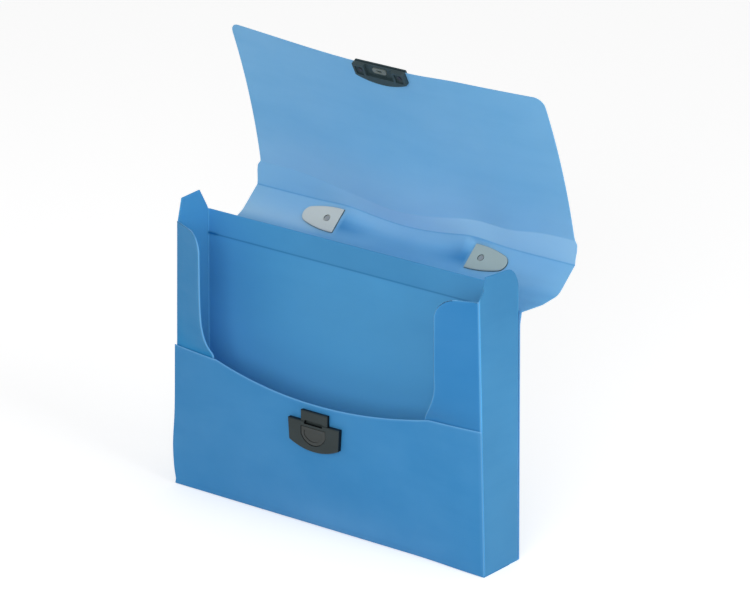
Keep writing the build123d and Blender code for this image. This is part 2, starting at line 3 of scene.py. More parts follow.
import bpy
import numpy as np
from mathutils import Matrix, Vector


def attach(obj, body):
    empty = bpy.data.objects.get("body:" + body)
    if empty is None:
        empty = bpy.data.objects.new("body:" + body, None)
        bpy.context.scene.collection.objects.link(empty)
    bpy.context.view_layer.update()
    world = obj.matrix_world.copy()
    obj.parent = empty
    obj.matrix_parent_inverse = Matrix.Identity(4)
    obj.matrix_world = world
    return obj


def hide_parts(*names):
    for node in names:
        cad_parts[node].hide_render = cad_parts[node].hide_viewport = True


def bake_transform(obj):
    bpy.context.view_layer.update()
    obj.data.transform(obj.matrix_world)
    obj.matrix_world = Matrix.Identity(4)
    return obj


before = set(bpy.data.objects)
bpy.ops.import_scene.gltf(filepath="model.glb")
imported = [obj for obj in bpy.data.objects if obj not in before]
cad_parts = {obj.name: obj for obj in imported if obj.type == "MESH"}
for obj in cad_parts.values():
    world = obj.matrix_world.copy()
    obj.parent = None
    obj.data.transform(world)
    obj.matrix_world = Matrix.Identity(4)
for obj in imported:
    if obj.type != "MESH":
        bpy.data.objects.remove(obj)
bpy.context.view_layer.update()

MM = 0.001
TINY = 1e-9
LEFT, RIGHT = -1, 1

# Sizes are in millimetres and angles in degrees, in the CAD frame, apart from the floor's, the
# lamps' and the camera's, which are in metres.

# The box
WRAP_T = 0.7
SLEEVE_T = 1.4
HALF_W = 165.0
WALL_H = 238.0
BACK_H = 237.0
HINGE_Z = 217.0
SLEEVE_Y = 22.5
SLEEVE_MID_Y = SLEEVE_Y - SLEEVE_T / 2
GUSSET_Y = SLEEVE_Y - SLEEVE_T
WRAP_IN_Y = SLEEVE_Y + 0.2
WRAP_MID_Y = WRAP_IN_Y + WRAP_T / 2
WRAP_OUT_Y = WRAP_IN_Y + WRAP_T
BOTTOM_SEAM_Y = 9.0
WALL_LEAN = {LEFT: 4.2, RIGHT: 7.5}
BACK_LEAN = 1.65
RIGHT_FORWARD = 3.2
FORWARD_FROM_X = 90.0
FORWARD_TO_Y = 10
FORWARD_FADE_Z = (WALL_H - 2, WALL_H + 12)

# The front panel, whose upper edge dips in the middle and which bows out above its foot
FRONT_H = 127.5
FRONT_OVER = 1.0
FOLD_OVER = 0.6
BOTTOM_OVER = 0.3
FRONT_FOLD_R = 1.4
FRONT_FOOT_Z = WRAP_T / 2 + FRONT_FOLD_R * 0.75
BOW = 14.0
BOW_FULL_Z = 75.0
BOW_POWER = 1.81
DIP_HALF_W = 112.0
DIP_DEPTH = 12.3
LEFT_EDGE_WAVES = ((2.0, 35, 16), (-1.8, 0, 6.5))

# The ears on the gussets, which end part of the way round the back's corners, and the crease
# below the lip of the inner back
EAR_RISE = 19.0
EAR_FRONT_RUN = 5.0
EAR_BACK_RUN = {LEFT: 12.0, RIGHT: 13.0}
EAR_ROUNDNESS = 2.2
EAR_END_ANGLE = 45
SLEEVE_CORNER_R = 1.8
LIP_CREASE_Z = 215.5

# The dust flaps, with the flanges that hold them behind the front panel
FLANGE_FOOT_Z = 4.0
FLANGE_EDGE_X = 112.0
FLANGE_TOP_Z = 112
FLAP_FOOT_Z = FRONT_H + 2.4
FLAP_EDGE_X = 122.5
FLAP_CORNER_R = 17.0
FLAP_CORNER_Z = WALL_H - FLAP_CORNER_R
FLARE_FOOT_X = {LEFT: 117.0, RIGHT: 107.0}
FLARE_Z = 163.0
FLARE_POWER = 0.85
FLAP_TURN_Z = (121, 134)
FLAP_ROOT_X = 0.4
FLAP_ROOT_Y = 0.72
SPLAY_FOOT = 8
SPLAY_GAIN = 17
SPLAY_HEIGHT = 16

# The cover's panels, each with the fold before it: rear, corner, band, front strip, cover panel
REAR, CORNER, BAND, STRIP, PANEL = range(5)
COVER_LENGTHS = (30.0, 18.0, 29.0, 20.5, 136.6)
COVER_DIRECTIONS = (-4.0, 12.0, 41.0, 84.0, 107.8)
FOLD_RADII = (0.9, 25.0, 20.0, 1.2, 1.0)
BACK_FOOT_R = 1.0
BAND_SEAM = 8.0
COVER_TAPER = 3.0
COVER_END_R = 9.0
WIDENING_Z = (HINGE_Z - 12, HINGE_Z + 0.5)

# How the cover bends: crease A ends the handle band and crease B ends the front strip
CREASE_A_SAG = np.array([3.0, -5.0])
CREASE_B_SAG = np.array([-6.5, -11.0])
CREASE_A_WAVES = ((1, -8, 30), (-0.42, -69, 15), (-0.75, 66, 17))
CREASE_B_WAVES = ((1, -8, 45), (0.30, 100, 18), (0.14, -75, 25))
SAG_FREE_X = 60.0
PLATE_X = 68.5
SAG_ON_BAND = (0.25, 1.0)
SAG_ON_PLATE = (0.88, 1.0)
SAG_REACH = 75
TROUGH = 2.4
TROUGH_FLAT_X = 46
PANEL_BULGE = 3.8
PANEL_DIP = 6.0
PANEL_LIFT_LEFT = (4.8, 10, HALF_W)
PANEL_LIFT_RIGHT = (1.8, 30, 80)
SIDE_SWELL = 2.2
SWELL_EDGE = (4, 1)
SIDE_CREST = 1.0
CREST_REACH = 7
CREST_SPREAD = 4.5

# Grids: rows and columns are closer together where a sheet bends, and at its rims
ROW_STEP = 5.0
ARC_STEP = 4.5
COVER_COLUMNS = 83
COVER_CORNER_ANGLES = (15, 30, 45, 60, 75)
FOLD_ROW_STEPS = (-3.0, -1.9, -1.2, -0.6, 0.6, 1.2, 1.9, 3.0)
ROW_DIGITS = 4
BOTTOM_ROWS = 6
FRONT_FOLD_ANGLES = (18, 36, 54)
FRONT_ROWS = np.concatenate(
    [np.linspace(0, 0.08, 4)[1:], np.linspace(0.08, 0.97, 26)[1:], [0.98, 0.99, 0.995, 1.0]]
)
FRONT_COLUMNS = np.sort(
    np.concatenate([np.linspace(-1, 1, 84), [-0.997, -0.993, 0.993, 0.997]])
)
GUSSET_COLUMNS = np.concatenate(
    [
        [-GUSSET_Y, -20.6, -20.0, -19.2, -18.8, -17.5, -16.1, -14.5],
        np.linspace(-12, 4, 6),
        np.linspace(5, 19.2, 18),
    ]
)
TURN_COLUMNS = (0, 22.5, 45, 67.5, 90)
BACK_COLUMNS = np.linspace(0, 1, 60)[1:-1]
LIP_CREASE_ROWS = np.array([-2.0, -1.0, -0.5, 0, 0.5, 1.0, 2.0]) / BACK_H + LIP_CREASE_Z / BACK_H
SLEEVE_ROWS = np.unique(
    np.concatenate([np.linspace(0, 0.89, 34), LIP_CREASE_ROWS, np.linspace(0.93, 1.0, 12)])
)
FLAP_ROWS = np.concatenate(
    [
        np.linspace(FLANGE_FOOT_Z, 108, 14),
        np.linspace(FLANGE_TOP_Z, 170, 22),
        np.linspace(174, FLAP_CORNER_Z, 11),
        FLAP_CORNER_Z + FLAP_CORNER_R * np.sin(np.radians(np.linspace(0, 90, 10)))[1:],
    ]
)
FLAP_COLUMNS = np.concatenate(
    [[0.0, 0.012, 0.024, 0.045], np.linspace(0.08, 0.95, 13), [0.975, 0.988, 1.0]]
)
RIM_ANGLES = (90, 60, 30, 0)
MITRE_LIMIT = 0.2
SLEEVE_RIM = 0.6
FLAP_RIM = 0.65

# Tones are painted light above 0 and painted shade below it, put into a sheet's colour. A pair is
# the start and end of a smooth step, or the middle and spread of a bell, and a triple has its
# height in front. On the cover, EDGE and REACH are distances from a fold, and PLACE is a share of
# the handle band's length.
STRIP_TONE = 0.16
STRIP_RIGHT_TONE = (0.38, 10, 110)
STRIP_MIDDLE_TONE = (0.85, -5, 45)
STRIP_EDGE = 0.6
PANEL_EDGE = 0.8
CREASE_TONE = -0.5
CREASE_SPREAD = 0.6
HINGE_TONE = -0.5
HINGE_SPREAD = 1.0
BAND_EDGE = (8, 4)
BAND_TONE = 0.34
BAND_RIGHT_TONE = (-0.18, -60, 100)
BAND_LEFT_TONE = (0.5, 70, 100)
BAND_LEFT_PLACE = (0.1, 0.25)
PANEL_TONE = 0.42
PANEL_TONE_REACH = 48
PANEL_RIGHT_SHARE = (-0.45, 30, 110)
PANEL_LEFT_SHARE = (-0.3, 90, 160)
SHADE_BEFORE_BAND = 6
PLATE_SHADE_END_X = (67, 69.5)
PLATE_SHADE_X = (68, 20)
PLATE_SHADE_PLACE = (0.38, 0.21)
MIDDLE_SHADE = (0.5, 0, 34)
MIDDLE_SHADE_PLACE = (0.15, 0.24)

# Painted highlights along the front's upper edge and right side, and painted light low in its
# middle
UPRIGHT_Y = -(WRAP_IN_Y - 1)
FRONT_TOP_TONE = (0.55, 0.2, 0.6)
FRONT_SIDE_TONE = (0.55, 0, 0.6)
FRONT_LOW_TONE = (0.16, 12, 12)
FRONT_LOW_X = (10, 60)

# Painted light on the inner back, more towards its bottom and left end and on the lip's right end,
# and painted shade in the lip's crease, at the crease's left end and along the lip's middle.
# Painted light on both gussets, and a painted highlight along the right gusset's front edge.
BACK_TONE = 0.30
BACK_LOW_TONE = 0.62
BACK_LOW_Z = (85, 190)
BACK_LEFT_TONE = 0.10
BACK_LEFT_X = (-164, -95)
BACK_EDGE_Y = (SLEEVE_MID_Y - 2.5, SLEEVE_MID_Y - 0.3)
LIP_EDGE_Z = (LIP_CREASE_Z - 0.4, LIP_CREASE_Z + 0.4)
LIP_MIDDLE_TONE = (-0.2, 10, 70)
LIP_RIGHT_TONE = (0.4, 110, 160)
LIP_CREASE_TONE = (-0.8, LIP_CREASE_Z, 0.4)
LIP_END_TONE = (-1.2, LIP_CREASE_Z, 0.8)
LIP_END_X = (-157, -149)
RIGHT_GUSSET_TONE = 0.12
RIGHT_GUSSET_Z = (150, 240)
RIGHT_RIM_TONE = (0.9, -GUSSET_Y - RIGHT_FORWARD, 0.45)
LEFT_GUSSET_TONE = 0.35

# Painted shade over the flaps, more on the right one, and painted highlights along their free
# edges, tops and roots
FLAP_TONE = {LEFT: -0.05, RIGHT: -0.30}
FLAP_EDGE_TONE = (0.8, 0.3, 0.6)
FLAP_EDGE_FOOT_Z = FLAP_FOOT_Z - 8
FLAP_TOP_TONE = (0.6, WALL_H, 0.6)
FLAP_ROOT_TONE = (0.9, 0, 0.45)

# Floor, room and lamps
WHITE = (1, 1, 1, 1)
FLOOR_COLOUR = (0.86, 0.86, 0.86, 1)
FLOOR_GLOW = 0.45
FLOOR_REACH = 6.0
ROOM_STRENGTH = 0.5
BACKGROUND_STRENGTH = 1.0
LAMP_AIM = (0, 0, 0.2)

# The camera fitted to the photograph, with its focal length in the photograph's pixels
FOCAL_PIXELS = 5301.1
PHOTO_WIDTH = 750
SENSOR_WIDTH = 36
CAMERA_TARGET = (0.03243, 0, 0.20466)
CAMERA_DISTANCE = 4.35603
CAMERA_AZIMUTH = 37.87
CAMERA_ELEVATION = 20.22
CLIP_END = 50


def smooth(value, start, end):
    """A smooth step from 0 to 1."""
    t = np.clip((np.asarray(value, float) - start) / (end - start), 0.0, 1.0)
    return t * t * (3 - 2 * t)


def fade(value, start, end):
    return 1 - smooth(value, start, end)


def bell(value, middle, spread):
    return np.exp(-(((np.asarray(value, float) - middle) / spread) ** 2) / 2)


def steps(value, *terms):
    """Sum of smooth steps, each given as (height, start, end)."""
    return sum(height * smooth(value, start, end) for height, start, end in terms)


def bells(value, *terms):
    """Sum of bells, each given as (height, middle, spread)."""
    return sum(height * bell(value, middle, spread) for height, middle, spread in terms)


def unit(vectors):
    return vectors / np.maximum(np.linalg.norm(vectors, axis=-1, keepdims=True), TINY)


def heading(degrees):
    """Unit step in the YZ plane, from +Y towards +Z."""
    return np.array([math.cos(math.radians(degrees)), math.sin(math.radians(degrees))])


def inward(degrees):
    """Unit step to the left of a heading, which is the cover's inner side."""
    return np.array([-math.sin(math.radians(degrees)), math.cos(math.radians(degrees))])


def corner_inset(over, radius):
    """How far a rounded corner draws in at this distance beyond its start."""
    return radius - np.sqrt(np.maximum(radius**2 - over**2, 0))


def front_half_w(z, side):
    """Half the width of the box at its front. The left wall leans in less than the right one."""
    return HALF_W - WALL_LEAN[side] * z / WALL_H


def back_half_w(z):
    return HALF_W - BACK_LEAN * z / WALL_H


def forward(x):
    """How far the front stands out towards its right end."""
    return RIGHT_FORWARD * smooth(x, FORWARD_FROM_X, HALF_W)


# Sheets


def grid_normals(points):
    along_rows = np.gradient(points, axis=0)
    across = np.gradient(points, axis=1)
    return unit(np.cross(across, along_rows))


def rim_directions(points, normals, free):
    """Steps out of the sheet at its free sides, zero inside and at seams."""
    out = np.zeros_like(points)
    seen = np.zeros(points.shape[:2], bool)
    sides = {
        "first": (np.s_[0, :], np.s_[1, :]),
        "last": (np.s_[-1, :], np.s_[-2, :]),
        "left": (np.s_[:, 0], np.s_[:, 1]),
        "right": (np.s_[:, -1], np.s_[:, -2]),
    }
    for side in free:
        edge, inner = sides[side]
        run = np.gradient(points[edge], axis=0)
        step = unit(np.cross(run, normals[edge]))
        away = points[edge] - points[inner]
        step *= np.sign(np.sum(step * away, axis=-1, keepdims=True))
        agree = np.sum(out[edge] * step, axis=-1, keepdims=True)
        joined = (out[edge] + step) / np.maximum(1 + agree, MITRE_LIMIT)
        out[edge] = np.where(seen[edge][:, None], joined, step)
        seen[edge] = True
    return out


def rim_profile(straight):
    """Half circle round a rim, as (reach, lift, face that the step belongs to)."""
    upper = [(math.cos(a), math.sin(a), 1) for a in map(math.radians, RIM_ANGLES)]
    lower = [(reach, -lift, -1) for reach, lift, _ in reversed(upper)]
    return upper + (lower if straight > TINY else lower[1:])


def sheet_faces(index, rings):
    """Quads of both faces, and of the strips between the rings round the rim."""
    below = index.size
    faces = []
    for row, next_row in zip(index, index[1:]):
        for a, b, c, d in zip(row, row[1:], next_row[1:], next_row):
            faces.append((a, b, c, d))
            faces.append((d + below, c + below, b + below, a + below))
    for upper, lower in zip(rings, rings[1:]):
        faces += zip(np.roll(upper, -1), upper, lower, np.roll(lower, -1))
    return [tuple(int(i) for i in face) for face in faces]


def sheet(name, points, thickness, material, free, flat, painted_light_and_shade, normals=None, rim=None):
    """A closed sheet of even thickness round a grid of mid-surface points in millimetres.

    The free sides get a rounded rim, flat places the material on the sheet, and the painted light
    and shade say where it is painted lighter or darker.
    """
    normals = grid_normals(points) if normals is None else normals
    rim = thickness / 2 if rim is None else rim
    straight = thickness / 2 - rim
    out = rim_directions(points, normals, free)
    core = (points - out * rim).reshape(-1, 3)
    out = out.reshape(-1, 3)
    normals = normals.reshape(-1, 3)
    index = np.arange(len(core)).reshape(points.shape[:2])
    loop = np.concatenate([index[0, :-1], index[:-1, -1], index[-1, :0:-1], index[:0:-1, 0]])

    layers = [core + normals * thickness / 2, core - normals * thickness / 2]
    layer_normals = [normals, -normals]
    sources = [index.ravel(), index.ravel()]
    rings = [loop]
    for reach, lift, side in rim_profile(straight)[1:-1]:
        rings.append(np.arange(len(loop)) + sum(map(len, layers)))
        rise = normals[loop] * (rim * lift + side * straight)
        layers.append(core[loop] + out[loop] * rim * reach + rise)
        layer_normals.append(unit(out[loop] * reach + normals[loop] * lift))
        sources.append(loop)
    rings.append(loop + len(core))

    source = np.concatenate(sources)
    mesh = bpy.data.meshes.new(name)
    mesh.from_pydata((np.concatenate(layers) * MM).tolist(), [], sheet_faces(index, rings))
    painted_attribute = mesh.attributes.new("painted_light_and_shade", "FLOAT", "POINT")
    painted_attribute.data.foreach_set("value", painted_light_and_shade.ravel()[source].astype(np.float32))
    corners = np.empty(len(mesh.loops), np.int32)
    mesh.loops.foreach_get("vertex_index", corners)
    places = (flat.reshape(-1, 2)[source][corners] * MM).astype(np.float32)
    mesh.uv_layers.new(name="flat").data.foreach_set("uv", places.ravel())
    mesh.shade_smooth()
    mesh.normals_split_custom_set_from_vertices(np.concatenate(layer_normals).tolist())
    mesh.materials.append(material)
    piece = bpy.data.objects.new(name, mesh)
    bpy.context.scene.collection.objects.link(piece)
    return piece


# Materials


def linear(hex_colour):
    """An sRGB hex colour as linear RGBA."""
    channels = [int(hex_colour[i : i + 2], 16) / 255 for i in (1, 3, 5)]
    return [c / 12.92 if c <= 0.04045 else ((c + 0.055) / 1.055) ** 2.4 for c in channels] + [1.0]


class Material:
    """A node material, with short calls for the nodes used here."""

    def __init__(self, name):
        self.material = bpy.data.materials.new(name)
        self.material.use_nodes = True
        self.nodes = self.material.node_tree.nodes
        self.links = self.material.node_tree.links
        self.shader = self.nodes["Principled BSDF"]

    def add(self, kind, **settings):
        node = self.nodes.new(kind)
        for key, value in settings.items():
            setattr(node, key, value)
        return node

    def put(self, value, socket):
        """Link an output to a socket, or write a plain value into it."""
        if isinstance(value, bpy.types.NodeSocket):
            self.links.new(value, socket)
        else:
            socket.default_value = value

    def fill(self, node, **values):
        for key, value in values.items():
            self.put(value, node.inputs[key.replace("_", " ")])

    def noise(self, where, scale, detail=3.0, roughness=0.5, stretch=(1, 1, 1)):
        mapping = self.add("ShaderNodeMapping")
        self.fill(mapping, Vector=where, Scale=stretch)
        noise = self.add("ShaderNodeTexNoise")
        self.fill(noise, Vector=mapping.outputs["Vector"], Scale=scale, Detail=detail)
        self.fill(noise, Roughness=roughness)
        return noise.outputs["Fac"]

    def remap(self, value, source, target=(0, 1)):
        node = self.add("ShaderNodeMapRange")
        self.fill(node, Value=value, From_Min=source[0], From_Max=source[1])
        self.fill(node, To_Min=target[0], To_Max=target[1])
        return node.outputs["Result"]

    def mix(self, factor, first, second):
        node = self.add("ShaderNodeMix", data_type="RGBA")
        colours = [socket for socket in node.inputs if socket.type == "RGBA"]
        for value, socket in zip((factor, first, second), [node.inputs[0]] + colours):
            self.put(value, socket)
        return [socket for socket in node.outputs if socket.type == "RGBA"][0]

    def calculate(self, operation, first, second):
        node = self.add("ShaderNodeMath", operation=operation)
        self.put(first, node.inputs[0])
        self.put(second, node.inputs[1])
        return node.outputs[0]

    def bump(self, height, distance, strength, under=None):
        node = self.add("ShaderNodeBump")
        self.fill(node, Height=height, Distance=distance, Strength=strength)
        if under is not None:
            self.fill(node, Normal=under)
        return node.outputs["Normal"]

    def set(self, **values):
        self.fill(self.shader, **values)


def film(name, colour, light, dark, roughness):
    """Satin polypropylene sheet: cloudy colour, fine sand, and the painted light and shade of its
    mesh.
    """
    m = Material(name)
    where = m.add("ShaderNodeUVMap", uv_map="flat").outputs["UV"]
    painted_light_and_shade = m.add("ShaderNodeAttribute", attribute_name="painted_light_and_shade").outputs["Fac"]
    clouds = m.noise(where, scale=14, detail=4.0, roughness=0.55)
    streaks = m.noise(where, scale=40, roughness=0.6, stretch=(0.35, 1.6, 1))
    sand = m.noise(where, scale=1500, detail=2.0)
    base = m.mix(m.remap(clouds, (0.35, 0.7), (0, 0.10)), linear(colour), linear(light))
    base = m.mix(m.remap(streaks, (0.45, 0.75), (0, 0.08)), base, linear(dark))
    # Painted light mixes towards the light colour, and painted shade towards the dark one
    base = m.mix(m.remap(painted_light_and_shade, (0, 1)), base, linear(light))
    base = m.mix(m.remap(painted_light_and_shade, (0, -1)), base, linear(dark))
    shine = m.remap(streaks, (0.3, 0.8), (roughness - 0.05, roughness + 0.07))
    soft = m.bump(clouds, distance=0.0012, strength=0.5)
    fine = m.bump(sand, distance=0.00004, strength=0.6, under=soft)
    m.set(Base_Color=base, Roughness=shine, Normal=fine, IOR=1.49, Specular_IOR_Level=0.12)
    m.set(Subsurface_Weight=0.12, Subsurface_Radius=(0.6, 0.9, 1.2), Subsurface_Scale=0.001)
    return m.material


def moulded(name, colour, worn, roughness, right=None, rim=None):
    """Injection-moulded part: fine spark-eroded texture, slightly shinier where rubbed.

    right is the colour of the part that stands at the right, and rim is (colour, (y, z)) of
    painted shade on faces that turn away from the direction (0, y, z).
    """
    m = Material(name)
    where = m.add("ShaderNodeTexCoord").outputs["Object"]
    grains = m.noise(where, scale=700, roughness=0.6)
    patches = m.noise(where, scale=60, detail=4.0)
    base = m.mix(m.remap(patches, (0.35, 0.75), (0, 0.5)), linear(colour), linear(worn))
    if right is not None:
        split = m.add("ShaderNodeSeparateXYZ")
        m.put(where, split.inputs[0])
        base = m.mix(m.remap(split.outputs["X"], (-0.05, 0.05)), base, linear(right))
    # Painted shade on faces that turn away from the given direction
    if rim is not None:
        shade_colour, direction = rim
        facing = m.add("ShaderNodeVectorMath", operation="DOT_PRODUCT")
        m.put(m.add("ShaderNodeTexCoord").outputs["Normal"], facing.inputs[0])
        m.put((0, *direction), facing.inputs[1])
        base = m.mix(m.remap(facing.outputs["Value"], (0.75, 0.2)), base, linear(shade_colour))
    shine = m.remap(patches, (0.3, 0.75), (roughness + 0.05, roughness - 0.08))
    texture = m.bump(grains, distance=0.00008, strength=0.5)
    m.set(Base_Color=base, Roughness=shine, Normal=texture, IOR=1.5, Specular_IOR_Level=0.2)
    return m.material


def steel(name, bright, dull):
    """Plated rivet and pin metal with fine turning marks."""
    m = Material(name)
    where = m.add("ShaderNodeTexCoord").outputs["Object"]
    marks = m.noise(where, scale=2500, detail=2.0, stretch=(1, 4, 4))
    base = m.mix(m.remap(marks, (0.3, 0.7), (0, 0.5)), linear(bright), linear(dull))
    shine = m.remap(marks, (0.3, 0.7), (0.34, 0.46))
    grooves = m.bump(marks, distance=0.00001, strength=0.3)
    m.set(Base_Color=base, Roughness=shine, Normal=grooves, Metallic=1.0)
    return m.material


# Painted shade on the side faces of the lock and its button, and on the plates' edges
LOCK_SIDE_SHADE = ("#0C1012", (-1, 0))
PLATE_SIDE_SHADE = ("#4A5A5E", tuple(inward(COVER_DIRECTIONS[BAND])))
SHELL = film("shell_film", "#3C89C1", "#7CBCEC", "#0F66A6", 0.38)
# The sleeve's copy of the shell film, with a light colour for the painted light on the inner back
SLEEVE = film("sleeve_film", "#428ABC", "#62B9F2", "#0F66A6", 0.38)
# A darker copy of the shell film for the left flap: painted shade, as the flap faces away from the
# lamps
SHADED_LEFT_FLAP = film("shaded_left_flap_film", "#1E85BF", "#7CBCEC", "#0F66A6", 0.38)
# The cover's copy of the shell film, painted lighter to stand in for the light that shines through
# it from behind
LIT_COVER = film("lit_cover_film", "#74B3E0", "#A6D1F0", "#3384C0", 0.42)
LOCK = moulded("lock_plastic", "#2E3738", "#374142", 0.40, rim=LOCK_SIDE_SHADE)
BUTTON = moulded("button_plastic", "#3E4241", "#494D4C", 0.40, rim=LOCK_SIDE_SHADE)
CATCH = moulded("catch_plastic", "#334348", "#3F5257", 0.40)
TONGUE = moulded("tongue_plastic", "#6A7472", "#7C8583", 0.40)
PLATE = moulded("plate_plastic", "#CFD5D0", "#D9DEDA", 0.38, right="#A7B8B6", rim=PLATE_SIDE_SHADE)
HANDLE = moulded("handle_plastic", "#1E2322", "#2A2F2E", 0.45)
STEEL = steel("rivet_steel", "#C6CACC", "#B2B7BA")
# A darker copy of the rivet steel, for the catch's rivets
DARK_STEEL = steel("dark_rivet_steel", "#5A5C5D", "#484B4C")


# The wrap's cover


def cover_corners():
    """Corners of the cover's middle line in the YZ plane, above the floor, and its free end."""
    hinge = np.array([WRAP_OUT_Y, HINGE_Z])
    inner = [hinge + inward(COVER_DIRECTIONS[REAR]) * WRAP_T]
    for length, direction in zip(COVER_LENGTHS, COVER_DIRECTIONS):
        inner.append(inner[-1] + heading(direction) * length)
    lines = [(np.array([WRAP_MID_Y, 0.0]), 90.0)]
    for start, direction in zip(inner, COVER_DIRECTIONS):
        lines.append((start - inward(direction) * WRAP_T / 2, direction))
    corners = []
    for (p, a), (q, b) in zip(lines, lines[1:]):
        u, v = heading(a), heading(b)
        t = np.linalg.solve(np.array([u, -v]).T, q - p)
        corners.append(p + u * t[0])
    end = inner[-1] - inward(COVER_DIRECTIONS[PANEL]) * WRAP_T / 2
    return corners, end


def add_run(line, target):
    start = line[-1]
    count = max(1, math.ceil(np.linalg.norm(target - start) / ROW_STEP))
    for i in range(1, count + 1):
        line.append(start + (target - start) * i / count)


def filleted(points, radii):
    """Samples along a polyline with rounded corners, and how far they and the corners lie."""
    points = [np.array(point, float) for point in points]
    line = [points[0]]
    arcs = []
    for before, corner, after, radius in zip(points, points[1:], points[2:], radii):
        a, b = unit(before - corner), unit(after - corner)
        half = math.acos(max(-1.0, min(1.0, float(a @ b)))) / 2
        centre = corner + unit(a + b) * radius / math.sin(half)
        add_run(line, corner + a * (radius / math.tan(half)))
        first = len(line) - 1
        spoke = line[first] - centre
        turn = math.copysign(math.pi - 2 * half, a[1] * b[0] - a[0] * b[1])
        count = max(2, math.ceil(abs(turn) / math.radians(ARC_STEP)))
        for i in range(1, count + 1):
            c, s = math.cos(turn * i / count), math.sin(turn * i / count)
            turned = [c * spoke[0] - s * spoke[1], s * spoke[0] + c * spoke[1]]
            line.append(centre + np.array(turned))
        arcs.append((first, len(line) - 1))
    add_run(line, points[-1])
    line = np.array(line)
    place = np.concatenate([[0], np.cumsum(np.linalg.norm(np.diff(line, axis=0), axis=1))])
    return line, place, [(place[first] + place[last]) / 2 for first, last in arcs]


def cover_line():
    """The cover's middle line from the bottom's seam to the free edge, and where its folds are."""
    corners, end = cover_corners()
    path = [(BOTTOM_SEAM_Y, WRAP_T / 2), (WRAP_MID_Y, WRAP_T / 2)] + corners + [end]
    line, place, marks = filleted(path, (BACK_FOOT_R,) + FOLD_RADII)
    return line, place, marks[1:]


def cover_sag(x, s, folds):
    """How far the cover leaves its straight shape, in the YZ plane."""
    band = (s - folds[BAND]) / (folds[STRIP] - folds[BAND])
    strip = np.clip((s - folds[STRIP]) / (folds[PANEL] - folds[STRIP]), 0, 1)
    between = fade(abs(x), SAG_FREE_X, PLATE_X)
    rise = between * smooth(band, *SAG_ON_BAND) + (1 - between) * smooth(band, *SAG_ON_PLATE)
    down = fade(s, folds[PANEL], folds[PANEL] + SAG_REACH)
    at_a = bells(x, *CREASE_A_WAVES) * rise * (1 - strip)
    at_b = bells(x, *CREASE_B_WAVES) * down * strip
    hollow = fade(abs(x), TROUGH_FLAT_X, PLATE_X)
    trough = TROUGH * hollow * np.sin(np.pi * np.clip(band, 0, 1)) ** 2
    outward = -inward(COVER_DIRECTIONS[BAND])
    return (
        at_a[..., None] * CREASE_A_SAG
        + at_b[..., None] * CREASE_B_SAG
        + trough[..., None] * outward
    )


def cover_half_w(s, z, folds, length):
    """Half the cover's width along it: narrower on the box, and swollen from band to panel."""
    panel = folds[PANEL]
    share = np.clip((s - panel) / (length - panel), 0, 1)
    full = smooth(z, *WIDENING_Z)
    on_box = back_half_w(z) * (1 - full) + HALF_W * full
    half = np.where(s < folds[REAR], on_box, HALF_W - COVER_TAPER * share)
    half = half - corner_inset(COVER_END_R - np.minimum(length - s, COVER_END_R), COVER_END_R)
    swell = smooth(s, folds[CORNER], folds[BAND])
    swell = swell - smooth(s, panel - SWELL_EDGE[0], panel + SWELL_EDGE[1])
    return half + SIDE_SWELL * swell + SIDE_CREST * bell(s, panel - CREST_REACH, CREST_SPREAD)


def cover_painted_light_and_shade(x, s, folds):
    """Painted light and shade on the cover: painted shade in its creases, round the plates and in
    the band's middle, and painted light on the front strip, the band and the panel.
    """
    hinge, _, band, strip, panel = folds
    on_band = smooth(s, band - BAND_EDGE[0], band + BAND_EDGE[1])
    on_band = on_band * fade(s, strip - STRIP_EDGE, strip)
    on_strip = smooth(s, strip - STRIP_EDGE, strip + STRIP_EDGE)
    on_strip = on_strip * fade(s, panel - PANEL_EDGE, panel + PANEL_EDGE)
    on_panel = PANEL_TONE * fade(s, panel, panel + PANEL_TONE_REACH) * (s >= panel)
    place = (s - band) / (strip - band)
    shade = fade(abs(x), *PLATE_SHADE_END_X) * bell(abs(x), *PLATE_SHADE_X)
    shade = shade * bell(place, *PLATE_SHADE_PLACE)
    shade = shade + bells(x, MIDDLE_SHADE) * bell(place, *MIDDLE_SHADE_PLACE)
    return (
        on_strip * (STRIP_TONE + steps(x, STRIP_RIGHT_TONE) + bells(x, STRIP_MIDDLE_TONE))
        + CREASE_TONE * bell(s, strip, CREASE_SPREAD)
        + on_band * (BAND_TONE + steps(x, BAND_RIGHT_TONE))
        + on_panel * (1 + steps(x, PANEL_RIGHT_SHARE)) * (1 + steps(-x, PANEL_LEFT_SHARE))
        + steps(-x, BAND_LEFT_TONE) * bell(place, *BAND_LEFT_PLACE)
        + HINGE_TONE * bell(s, hinge, HINGE_SPREAD)
        - shade * (s > band - SHADE_BEFORE_BAND)
    )


def cover_grid(rows, line, place, folds):
    """Points of the cover's middle surface in rows across it, with each point's place along it."""
    length = place[-1]
    y, z = (np.interp(rows, place, line[:, i])[:, None] for i in (0, 1))
    s = rows[:, None]
    x = cover_half_w(s, z, folds, length) * np.linspace(-1, 1, COVER_COLUMNS)
    y, z, s = (np.broadcast_to(values, x.shape) for values in (y, z, s))
    share = np.clip((s - folds[PANEL]) / (length - folds[PANEL]), 0, 1)
    lift = share**2 * (steps(-x, PANEL_LIFT_LEFT) + steps(x, PANEL_LIFT_RIGHT))
    dip = PANEL_DIP * share**2 * (1 - (x / HALF_W) ** 2)
    bulge = 4 * PANEL_BULGE * share * (1 - share)
    yz = np.stack([y, z], axis=-1)
    yz = yz + lift[..., None] * heading(COVER_DIRECTIONS[PANEL])
    yz = yz + (dip - bulge)[..., None] * inward(COVER_DIRECTIONS[PANEL]) + cover_sag(x, s, folds)
    return np.concatenate([x[..., None], yz], axis=-1), s


